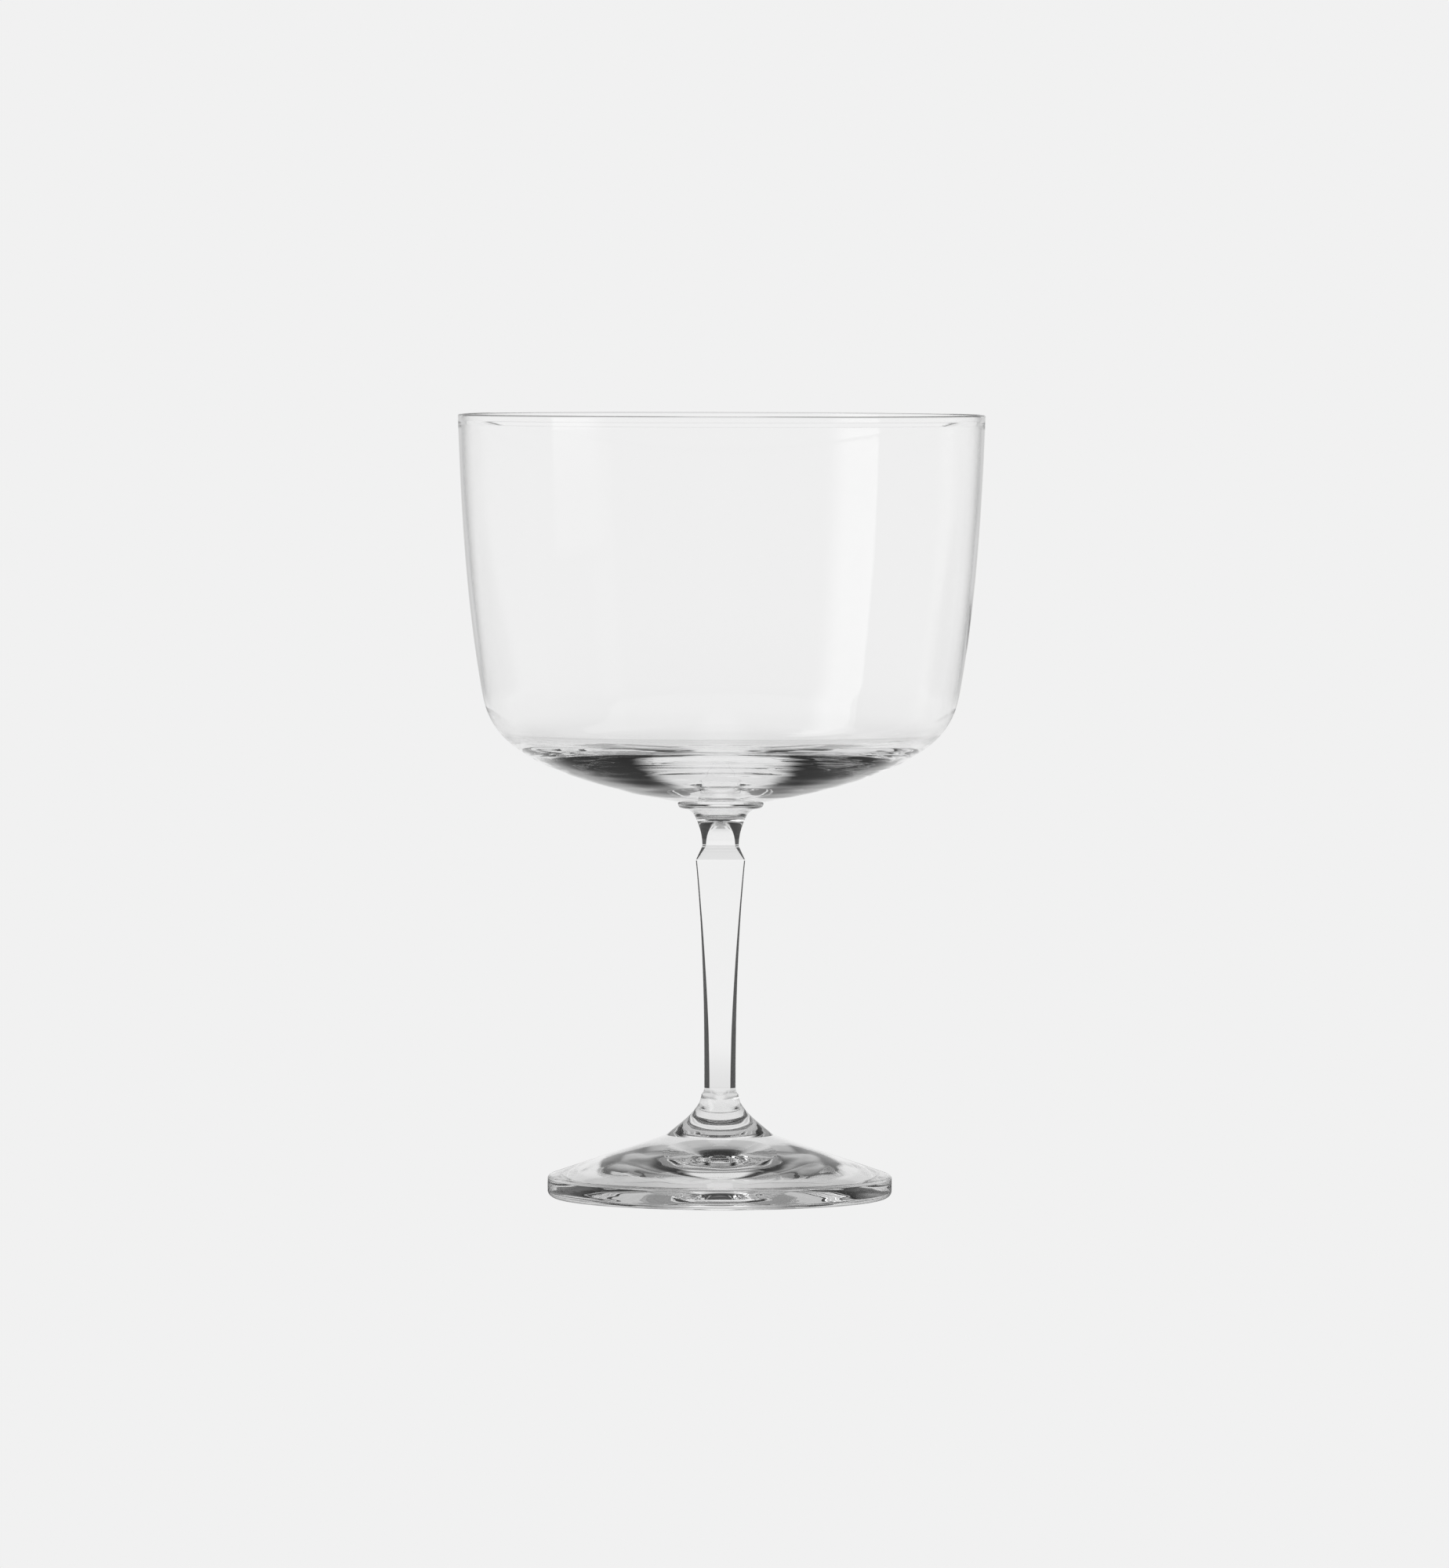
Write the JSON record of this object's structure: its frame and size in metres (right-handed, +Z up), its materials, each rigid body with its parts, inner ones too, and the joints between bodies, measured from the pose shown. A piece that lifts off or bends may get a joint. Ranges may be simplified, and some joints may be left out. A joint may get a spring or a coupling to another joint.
{
  "type": "stemmed dessert coupe glass",
  "caption": "Clear glass coupe: a deep straight-sided bowl with a thick floor on a four-sided tapering stem and a low conical foot, for serving desserts or drinks.",
  "frame": {"origin": "on the surface the glass stands on, under the glass's axis", "axes": "+Z up along the axis from the foot to the rim; the stem's four flats face +X, -X, +Y and -Y"},
  "size_m": [0.1144, 0.1144, 0.17],
  "materials": {
    "blown_glass": "clear colourless soda-lime glass, blown in a mould, with a fire-polished rim",
    "pressed_glass": "clear colourless soda-lime glass, pressed and fire-polished"
  },
  "bodies": {
    "root": {"bowl": "blown_glass", "merese": "pressed_glass", "stem": "pressed_glass", "foot": "pressed_glass"}
  },
  "joints": []
}
